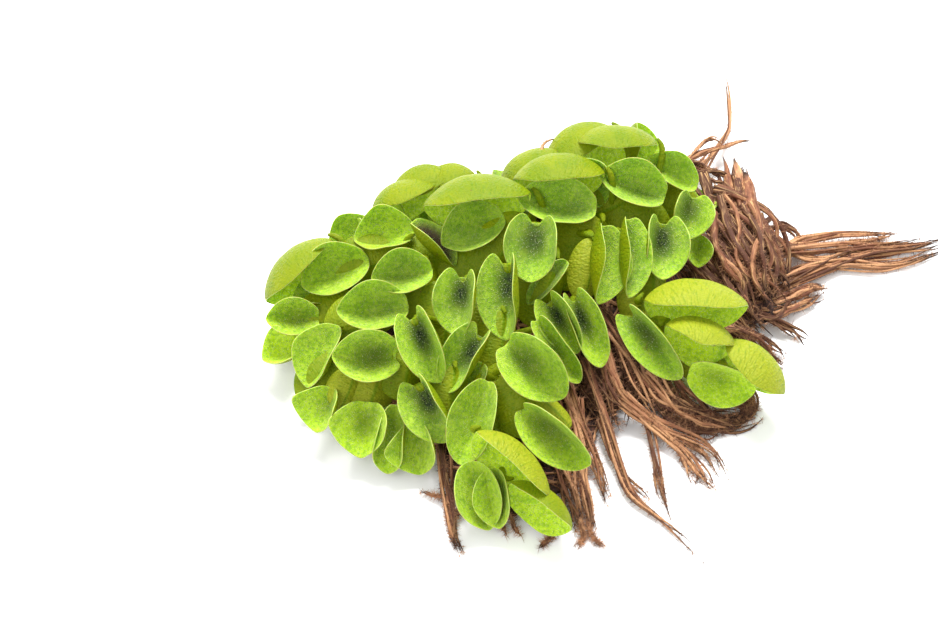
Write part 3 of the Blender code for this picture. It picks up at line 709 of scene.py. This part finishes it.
upright = (-math.pi / 2, 0, 0)
bpy.ops.object.select_all(action="DESELECT")
bpy.ops.mesh.primitive_circle_add(vertices=BLADE_POINTS, radius=1, fill_type="NGON", rotation=upright)
blade = bpy.context.object
bpy.ops.object.transform_apply(location=True, rotation=True, scale=True)
bpy.ops.object.mode_set(mode="EDIT")
bpy.ops.mesh.select_all(action="SELECT")
for width in BLADE_INSETS:
    bpy.ops.mesh.inset(thickness=width)
bpy.ops.mesh.poke()
bpy.ops.mesh.select_all(action="SELECT")
bpy.ops.uv.cube_project(cube_size=2, correct_aspect=False, scale_to_bounds=False)
bpy.ops.object.mode_set(mode="OBJECT")
thick = blade.vertex_groups.new(name="thick")
for corner in blade.data.vertices:
    thick.add([corner.index], 1 - (1 - RIM_SHARE) * min(1, corner.co.length) ** 2, "REPLACE")
for skin in (leaf_face, leaf_back, leaf_rim):
    blade.data.materials.append(skin)
bpy.ops.object.shade_smooth()
leaf_warp = uneven("leaf_warp", WARP_SIZE)


def choose(piece, wanted):
    """Select the corners of the active piece that pass a test on their place."""
    bpy.ops.object.mode_set(mode="EDIT")
    bpy.ops.mesh.select_mode(type="VERT")
    bpy.ops.mesh.select_all(action="DESELECT")
    bpy.ops.object.mode_set(mode="OBJECT")
    for corner in piece.data.vertices:
        corner.select = wanted(corner.co)
    bpy.ops.object.mode_set(mode="EDIT")


def cut_blade(name, length, width, ends, notch_and_shade):
    """A flat blade with its tip up: an oval, narrower or fuller at its ends, and notched at the bottom."""
    piece = blade.copy()
    piece.data = blade.data.copy()
    scene.collection.objects.link(piece)
    piece.name = name
    piece.data.name = name
    pick(piece)
    for corner in piece.data.vertices:
        corner.co.x *= max(NARROWEST, 1 - corner.co.z**2) ** (ends / 2)
    choose(piece, lambda co: co.z < NOTCH_BELOW and abs(co.x) < NOTCH_HALF_WIDTH)
    depth = NOTCH_DEPTH * (NOTCH_LEAST + (1 - NOTCH_LEAST) * notch_and_shade**2)
    bpy.ops.transform.translate(
        value=(0, 0, depth), use_proportional_edit=True,
        proportional_edit_falloff="SHARP", proportional_size=NOTCH_REACH,
    )
    bpy.ops.mesh.select_all(action="SELECT")
    bpy.ops.transform.resize(value=(width / 2, 1, length / 2), center_override=(0, 0, 0))
    bpy.ops.object.mode_set(mode="OBJECT")
    return piece


def bend_blade(piece, length, form):
    """Roll the blade about its midrib, fold its halves up, widen it to its tip and curl it end to end."""
    fold, roll, curl, taper, _ = form
    share = piece.dimensions.z / length
    rolled = piece.modifiers.new("roll", "SIMPLE_DEFORM")
    rolled.deform_method, rolled.deform_axis, rolled.angle = "BEND", "Z", 2 * math.radians(roll)
    apply_modifiers(piece)
    for side in (1, -1):
        choose(piece, lambda co: co.x * side > OFF_MIDRIB)
        bpy.ops.transform.rotate(value=-side * math.radians(fold), orient_axis="Z", center_override=(0, 0, 0))
        bpy.ops.object.mode_set(mode="OBJECT")
    flared = piece.modifiers.new("flare", "SIMPLE_DEFORM")
    flared.deform_method, flared.deform_axis, flared.factor = "TAPER", "Z", taper * share
    curled = piece.modifiers.new("curl", "SIMPLE_DEFORM")
    curled.deform_method, curled.deform_axis, curled.angle = "BEND", "X", math.radians(curl) * share
    apply_modifiers(piece)


def thicken_blade(piece):
    """Warp the blade a little, give it a wall that is thinner at the rim, and round it off."""
    warp = piece.modifiers.new("warp", "DISPLACE")
    warp.texture, warp.texture_coords, warp.strength = leaf_warp, "GLOBAL", WARP
    wall = piece.modifiers.new("wall", "SOLIDIFY")
    wall.thickness, wall.offset = BLADE_THICKNESS, -1
    wall.vertex_group = "thick"
    wall.material_offset, wall.material_offset_rim = 1, 2
    round_off = piece.modifiers.new("round_off", "SUBSURF")
    round_off.levels = round_off.render_levels = 1
    apply_modifiers(piece)
    for corner in piece.data.vertices:
        corner.co.z = max(corner.co.z, TABLE_GAP)


def leaf_frame(aim, lean, turn):
    """The leaf's axes: z from stalk to tip, as seen in the photograph, y the way that the cup opens."""
    aim, lean, turn = (math.radians(v) for v in (aim, lean, turn))
    flat = RIGHT * math.cos(aim) + SCREEN_UP * math.sin(aim)
    tip = flat * math.cos(lean) + TO_VIEWER * math.sin(lean)
    facing = TO_VIEWER * math.cos(lean) - flat * math.sin(lean)
    opening = facing * math.cos(turn) + facing.cross(tip) * math.sin(turn)
    side = opening.cross(tip)
    return Matrix((side, opening, tip)).transposed()


def cup_point(across, along, width, length, form):
    """Where a point of the flat blade ends up after it is rolled, folded, flared and curled."""
    fold, roll, curl, taper, _ = form
    turn_rate = math.radians(roll) / (width / 2)
    start = math.radians(fold)
    end = start + turn_rate * abs(across)
    x = (math.sin(end) - math.sin(start)) / turn_rate
    y = (math.cos(start) - math.cos(end)) / turn_rate
    widening = 1 + taper * along / length
    x, y = x * widening, y * widening
    radius = length / math.radians(curl)
    return Vector((
        math.copysign(x, across),
        radius - (radius - y) * math.cos(along / radius),
        (radius - y) * math.sin(along / radius),
    ))


STALK_TOP = 1.1 * MM
STALK_BASE = 0.55 * MM
STALK_LONGEST = 12 * MM
STALK_REACH = 4.5 * MM
STALK_SIDES = 8
JOINED_BEHIND = 0.28
JOINED_AT_BASE = 0.46


def nearest_on_rhizome(place):
    """The place on the stems' middle lines that is nearest."""
    best = None
    for line in stem_lines.values():
        for first, second in zip(line, line[1:]):
            run = second - first
            share = min(1, max(0, (place - first).dot(run) / run.length_squared))
            point = first + run * share
            if best is None or (point - place).length < (best - place).length:
                best = point
    return best


def stalk(name, axes, move, width, length, form):
    """A leaf's stalk, from inside its blade towards the nearest stem. It leaves the back of a leaf that
    opens upwards, and the bottom end of one that opens down."""
    opening, tip = axes.col[1], axes.col[2]
    if opening.z > 0:
        joined, away = JOINED_BEHIND, -opening * STALK_REACH - tip * STALK_TOP
    else:
        joined, away = JOINED_AT_BASE, (opening - tip * 2) * STALK_TOP
    base = axes @ cup_point(0, -joined * length, width, length, form) + move
    behind = base + away
    foot = nearest_on_rhizome(behind)
    if (foot - behind).length > STALK_LONGEST:
        foot = behind + (foot - behind).normalized() * STALK_LONGEST
    # Each place has the stalk's radius there: inside the blade, halfway out, behind it, and at the stem.
    line = (
        (base - opening * 1.3 * BLADE_THICKNESS, STALK_TOP * 0.25),
        (base + away * 0.5, STALK_TOP * 0.7),
        (behind, (STALK_TOP + STALK_BASE) / 2.2),
        (foot, STALK_BASE),
    )
    line = [(Vector((place.x, place.y, max(place.z, radius))), radius) for place, radius in line]
    return tube(name, [line], STALK_SIDES, 3, leaf_back)


def leaf(name, px, py, height, length, width, aim, lean, turn, form, young_and_glow, notch_and_shade, node=None, wilted=0):
    """One cupped leaf on its stalk: sizes in mm, angles in degrees, its opening centred on a pixel.

    Aim is the way from stalk to tip in the photograph, lean tips it towards the viewer, and turn rolls
    it about its length. young_and_glow sets how pale it is and how strongly it gives off painted glow;
    notch_and_shade sets how deep it is notched and how dark the painted shade in its pit is."""
    length, width = length * MM, width * MM
    piece = cut_blade(name, length, width, form[-1], notch_and_shade)
    bend_blade(piece, length, form)
    side = cup_point(width / 2, 0, width, length, form)
    end = cup_point(0, length / 2, width, length, form)
    axes = leaf_frame(aim, lean, turn)
    move = spot(px, py, height) - axes @ Vector((0, (side.y + end.y) / 2, 0))
    piece.matrix_world = Matrix.Translation(move) @ axes.to_4x4()
    bpy.ops.object.transform_apply(location=True, rotation=True, scale=True)
    thicken_blade(piece)
    give_trait(piece, "young_and_glow", young_and_glow)
    give_trait(piece, "notch_and_shade", notch_and_shade)
    give_trait(piece, "wilted", wilted)
    pick(piece, stalk(name + "_stalk", axes, move, width, length, form))
    bpy.ops.object.join()
    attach(piece, "root")
    if node:
        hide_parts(node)


def grow(group, replacing, added=()):
    """A group's leaves. A row is what leaf() takes from px to notch_and_shade. The first table's leaves
    replace the solids of their names; the second's are small ones beside them."""
    for k, row in enumerate(replacing):
        name = f"{group}_leaf_{k + 1}"
        leaf(name + "_cup", *row, node=name)
    for k, row in enumerate(added):
        leaf(f"{group}_small_{k + 1}", *row)


def shelter(group, rows):
    """The leaves half hidden under a group, with their green backs up. A row is px, py, the height,
    length and width, the aim and turn, and its young_and_glow, set high to lighten these shaded leaves as
    painted light."""
    for k, (px, py, height, length, width, aim, turn, young_and_glow) in enumerate(rows):
        name = f"{group}_under_{k + 1}"
        leaf(name, px, py, height, length, width, aim, 0, turn, SHELTERED, young_and_glow, UNDER_NOTCH_AND_SHADE)


# A form is how a blade is bent: the degrees that its halves fold and roll up and that it curls from end
# to end, how much it widens to its tip, and how far its ends are narrower than an oval's, or fuller.
ARCHED = (24, 50, 92, 0.1, -0.5)
SHELTERED = (15, 50, 30, 0.1, 0)
UNDER_NOTCH_AND_SHADE = 0.1
LEANING = (24, 55, 45, 0.1, 0.2)
LEANING_FAR = (18, 65, 45, 0.1, 0.2)


def cupped(curl, taper=0.1, ends=0.2):
    """The form of a leaf that lies open, as a shallow cup."""
    return 32, 42, curl, taper, ends


# Crown: the largest leaves, soft and green, on stalks from the newest growth at the top right of the
# mound. The back row arches over with its outsides to the viewer; the row in front opens upwards.

CROWN = (
    (617, 153, 24, 19.1, 19.7, 178, 0, 70, ARCHED, 0.82, 0),
    (584, 153, 21, 17.9, 19.7, 203, 0, 80, ARCHED, 0.82, 0),
    (637, 184, 25, 15.3, 15.5, 161, 5, -12, cupped(55), 0.1, 0.35),
    (561, 201, 26, 17.3, 15.5, 172, 5, -12, cupped(55), 0.1, 0.3),
    (560, 184, 25, 21.5, 19.7, 183, 0, 72, ARCHED, 0.82, 0),
    (675, 171, 22, 12.2, 12, 150, 0, -20, cupped(52), 0.35, 0),
)
CROWN_SMALL = (
    (645, 147, 20, 11.9, 15.3, 268, 0, 60, ARCHED, 0.82, 0),
    (588, 182, 24, 12.2, 14.3, 130, 0, -12, cupped(52), 0, 0),
    (535, 176, 20, 15.6, 18.5, 205, 0, 75, ARCHED, 0.82, 0),
)
grow("crown", CROWN, CROWN_SMALL)
shelter("crown", (
    (632, 225, 14, 16, 18, 180, -150, 0.8), (575, 252, 15, 17, 19, 240, -150, 0.8),
    (662, 205, 13, 15, 15, 180, -155, 0.8), (600, 205, 17, 15, 15, 200, -155, 0.8),
    (585, 270, 17, 13, 9, 262, -155, 1),
))


# Ridge: the soft leaves along the top of the mound, each on its own stalk from the main stem. Some lie
# open to the sky, and some are folded shut and seen edge on.

RIDGE = (
    (474, 226, 24, 14.8, 15.8, 206, 5, -10, cupped(55), 0.2, 0.25),
    (479, 207, 25, 25, 20.7, 186, 0, 70, ARCHED, 0.82, 0),
    (532, 242, 27, 15.3, 17.6, 264, 10, -8, (18, 70, 50, 0.15, 0.3), 0.15, 0.9),
    (610, 261, 22, 17.3, 15.4, 266, 5, 48, (30, 55, 40, 0.1, 0.2), 0.35, 0.5),
    (635, 254, 22, 17.3, 12.1, 270, 5, 38, (35, 55, 40, 0.1, 0.2), 0.1, 0.5),
    (667, 242, 21, 14.8, 14.3, 268, 10, 16, (15, 75, 55, 0.1, 0.3), 0.2, 1),
    (693, 212, 20, 11.2, 14.5, 256, 10, 8, (28, 55, 45, 0.1, 0.3), 0.3, 0.8),
)
RIDGE_SMALL = ((699, 250, 14, 7.1, 8.8, 270, 5, 0, cupped(50), 0.6, 0.1),)
grow("ridge", RIDGE, RIDGE_SMALL)
shelter("ridge", (
    (478, 272, 13, 17, 18, 190, -150, 0.8), (540, 290, 15, 15, 14, 250, -155, 0.8),
    (645, 275, 13, 14, 14, 270, -155, 0.8), (500, 245, 18, 16, 14, 230, -155, 0.8),
))


# Middle: the crowded leaves on the mound's near slope, on short stalks from the main stem, whose velvety
# insides face the viewer. One has wilted to brown, and one has gone dull.

MIDDLE = (
    (500, 291, 24, 18.9, 15.4, 270, 5, -28, (28, 62, 40, 0.1, 0.3), 0.25, 1),
    (456, 297, 24, 14.8, 14.9, 264, 5, -18, (25, 63, 45, 0.1, 0.3), 0.3, 1),
    (420, 342, 21, 17.3, 15.4, 293, 5, -10, (32, 55, 40, 0.1, 0.3), 0.35, 1),
    (404, 272, 22, 13.3, 14.8, 188, 5, -10, cupped(55), 0.3, 0.3),
    (375, 306, 20, 15.3, 15.8, 184, 5, -10, cupped(55), 0.35, 0.3),
    (370, 356, 17, 14.8, 16.5, 180, 5, -3, cupped(45, ends=0.3), 0.5, 0.7),
    (385, 230, 20, 13.3, 15.4, 188, 0, -24, cupped(52), 0.6, 0),
)
MIDDLE_SMALL = ((350, 232, 14, 11, 12, 215, 0, -30, cupped(52), 0.6, 0.1),)
grow("middle", MIDDLE, MIDDLE_SMALL)
shelter("middle", (
    (418, 266, 11, 16, 18, 188, -150, 0.8), (440, 320, 12, 16, 14, 270, -160, 0.8),
    (365, 262, 13, 14, 14, 200, -155, 0.8), (415, 300, 13, 16, 14, 260, -155, 0.8),
    (402, 365, 11, 14, 12, 262, -155, 0.8), (478, 330, 14, 15, 14, 262, -155, 0.8),
    (360, 320, 12, 15, 14, 200, -155, 0.8),
))
leaf("middle_wilted", 436, 239, 21, 13, 9, 315, 0, 48, (35, 50, 40, 0.1, 0.2), 0.2, 0.3, wilted=1)
leaf("middle_dull", 547, 281, 19, 12, 7, 228, 0, -20, (40, 30, 30, 0.1, 0.2), 0.1, 0.1, wilted=0.35)


# Left: the low leaves at the mound's left end, soft and thin, which overhang the table on stalks from
# the stem's left fork.

LEFT = (
    (305, 276, 13, 20.9, 19.7, 222, 0, 70, ARCHED, 0.9, 0),
    (335, 269, 17, 15.3, 16.9, 202, 0, -10, cupped(55), 0.5, 0.2),
    (295, 317, 12, 11.7, 12, 180, 5, -11, cupped(50), 0.6, 0.5),
    (283, 347, 8, 9.7, 13.2, 200, 5, -27, cupped(50), 0.9, 0.1),
    (317, 352, 13, 14.3, 14.9, 244, 5, -30, cupped(50), 0.5, 0.1),
    (319, 406, 10, 10.2, 15.4, 250, 5, -28, cupped(50, taper=0.3), 0.6, 0.4),
)
LEFT_SMALL = ((314, 293, 10.5, 9.2, 12.6, 182, 0, -35, cupped(40), 0.6, 0.1),)
grow("left", LEFT, LEFT_SMALL)
shelter("left", (
    (330, 315, 8, 14, 14, 200, -160, 0.8), (325, 380, 6, 13, 14, 215, -155, 0.8),
))


# Front: the fans of leaves at the mound's near foot, on stalks from the stem's front fork. They are soft
# and thin, and the lowest are just clear of the table.

FRONT = (
    (361, 425, 10, 12.2, 18.7, 262, 10, -12, cupped(50, taper=0.2), 0.7, 0.45),
    (391, 438, 8, 14.3, 12.1, 262, 0, -5, (35, 60, 40, 0.5, 0.2), 0.6, 0.3),
    (414, 447, 8, 11.2, 15.4, 272, 0, -18, cupped(40, taper=0.6), 0.6, 0.2),
    (423, 408, 14, 15.8, 14, 298, 5, -27, (22, 65, 40, 0.1, 0.3), 0.3, 1),
    (463, 353, 19, 16.3, 13.8, 240, 5, -28, (28, 63, 40, 0.2, 0.3), 0.3, 1),
    (473, 420, 14, 17.9, 14.2, 252, 5, -12, cupped(47, taper=0.2, ends=0.1), 0.5, 0.35),
    (531, 367, 20, 17.3, 17.6, 318, 5, -5, cupped(45), 0.4, 0.6),
    (551, 437, 14, 18.4, 14.6, 320, 5, -18, (40, 32, 45, 0.1, 0), 0.6, 0.6),
    (508, 469, 12, 21.5, 16.5, 318, 5, -62, ARCHED, 1, 0.1),
    (493, 498, 8, 12.2, 12.1, 277, 5, -18, cupped(50), 0.6, 0.2),
    (537, 510, 7, 16.7, 14, 324, 5, -58, ARCHED, 0.9, 0.1),
)
FRONT_SMALL = (
    (478, 495, 8, 14.3, 14.3, 288, 5, 0, cupped(45), 0.6, 0.1),
    (462, 398, 11, 17.3, 9.9, 240, 5, -10, (35, 55, 40, 0.1, 0.2), 0.6, 0.1),
)
grow("front", FRONT, FRONT_SMALL)
shelter("front", (
    (368, 394, 7, 10, 14, 250, -160, 1), (500, 400, 8, 16, 16, 250, -160, 0.8),
    (520, 405, 12, 14, 14, 300, -155, 0.8), (445, 400, 10, 14, 14, 262, -155, 0.8),
    (495, 345, 14, 14, 12, 262, -155, 0.8), (506, 400, 11, 9, 9, 300, -155, 1),
    (545, 409, 9.5, 12, 8, 320, -155, 1), (345, 388, 9, 9, 9, 250, -155, 1),
))


# Side: the young branch on the right, with pale new leaves, thin enough for light to shine through,
# folded over each other on stalks from the stem's right fork.

SIDE = (
    (558, 321, 17, 14.8, 11.8, 300, 5, -10, cupped(40, ends=0.3), 0.6, 1),
    (586, 324, 16, 17.9, 11.4, 292, 5, 10, (30, 55, 40, 0.1, 0.2), 0.6, 1),
    (648, 342, 13, 19.4, 12, 309, 5, -22, cupped(40), 0.2, 0.85),
    (695, 311, 15, 23.9, 20.7, 358, 0, -71, ARCHED, 1, 0),
    (697, 346, 13, 16.8, 19.6, 344, 0, -68, ARCHED, 1, 0.2),
    (720, 383, 8, 14.8, 14.3, 343, 0, -18, cupped(45), 0.8, 0.4),
    (749, 374, 9, 17.9, 18, 320, 0, -88, ARCHED, 1, 0),
)
SIDE_SMALL = ((556, 348, 16, 16.3, 9, 304, 5, 0, (35, 55, 40, 0.1, 0.2), 0.6, 0.5),)
grow("side", SIDE, SIDE_SMALL)
shelter("side", (
    (636, 306, 10, 11, 9, 300, -155, 1), (660, 328, 8.5, 10, 8, 330, -155, 1),
    (702, 360, 5, 13, 12, 344, -155, 1),
))


# Back: the rows of soft leaves on the far slope, on stalks from the main stem. They lean away from the
# viewer and show only their backs and rims from the front.

BACK = ((424, 190, 17, 14.3, 16.3, 195, 0, 85, ARCHED, 0.82, 0),)
HIND = (
    (596, 170, 13, 15.3, 18.7, 100, -50, 0, LEANING_FAR, 0.6, 0.1),
    (520, 186, 13, 15.3, 18.7, 85, -50, 0, LEANING_FAR, 0.6, 0.1),
    (446, 208, 12, 15.3, 18.7, 110, -50, 0, LEANING_FAR, 0.6, 0.1),
)
BACK_SMALL = (
    (452, 186, 17, 11.9, 15.3, 180, 0, 85, ARCHED, 0.82, 0.1),
    (407, 204, 18, 15.6, 16.3, 200, 0, 72, ARCHED, 0.82, 0.1),
)
grow("back", BACK)
grow("hind", HIND)
grow("back", (), BACK_SMALL)

# Leaning leaves that differ in place and aim alone: px, py, height and aim.
HIND_LENGTH = 15
HIND_WIDTH = 17
HIND_LEAN = -50
HIND_SMALL = (
    (625, 176, 13, 80), (572, 184, 11, 95), (545, 180, 19, 88), (500, 196, 13, 92), (468, 206, 11, 100),
    (420, 214, 13, 112), (385, 228, 13, 125), (350, 246, 12, 135), (660, 182, 14, 65), (690, 196, 11, 50),
)
for k, (px, py, height, aim) in enumerate(HIND_SMALL):
    name = f"hind_small_{k + 1}"
    leaf(name, px, py, height, HIND_LENGTH, HIND_WIDTH, aim, HIND_LEAN, 0, LEANING, 0.7, 0.1)

bpy.data.objects.remove(blade)


# Floor: a plain white sheet of matt paper on which the clump lies. It is a hair lower than the clump's
# underside, so that the two don't touch.

FLOOR_SIZE = 6
FLOOR_GAP = 0.02 * MM
PAPER_SHADE = (0.95, 0.95, 0.95, 1)
PAPER_WHITE = (0.97, 0.97, 0.97, 1)

bpy.ops.object.select_all(action="DESELECT")
bpy.ops.mesh.primitive_plane_add(size=FLOOR_SIZE, location=(0, 0, -FLOOR_GAP))
floor = bpy.context.object
floor.name = "white_table"
bpy.ops.object.transform_apply(location=True, rotation=True, scale=True)
paper, tree, surface, place = new_material("white_paper", 0.9)
finish(surface, blended(patches(place, 40), PAPER_SHADE, PAPER_WHITE))
floor.data.materials.append(paper)


# Light and camera: even white light from all round, a broad soft lamp high at the back and a weaker one
# at the front left, and the photograph's own view, from 50 degrees above the table.

WORLD_STRENGTH = 0.85
LAMP_AIM = Vector((0, 0.01, 0))

world = bpy.data.worlds.new("studio")
world.use_nodes = True
sky = world.node_tree.nodes["Background"].inputs
sky["Color"].default_value = (1, 1, 1, 1)
sky["Strength"].default_value = WORLD_STRENGTH
scene.world = world


def soft_lamp(name, place, size, power):
    """A square lamp of that size in metres and power in watts, aimed at the clump."""
    data = bpy.data.lights.new(name, "AREA")
    data.size = size
    data.energy = power
    lamp = bpy.data.objects.new(name, data)
    scene.collection.objects.link(lamp)
    lamp.location = place
    lamp.rotation_euler = (LAMP_AIM - Vector(place)).to_track_quat("-Z", "Y").to_euler()


soft_lamp("top_lamp", (0.02, 0.42, 0.70), size=0.35, power=13)
soft_lamp("front_lamp", (-0.35, -0.45, 0.55), size=0.5, power=3)

SENSOR = 36
PHOTO_WIDTH_PX = 938
view = bpy.data.cameras.new("photo_view")
view.sensor_width = SENSOR
view.lens = SENSOR * VIEW_DISTANCE / (PHOTO_WIDTH_PX * METRES_PER_PX)
view.clip_start = 0.01
camera = bpy.data.objects.new("photo_view", view)
scene.collection.objects.link(camera)
camera.location = EYE
camera.rotation_euler = (AIM_POINT - EYE).to_track_quat("-Z", "Y").to_euler()
scene.camera = camera
scene.view_settings.view_transform = "Standard"
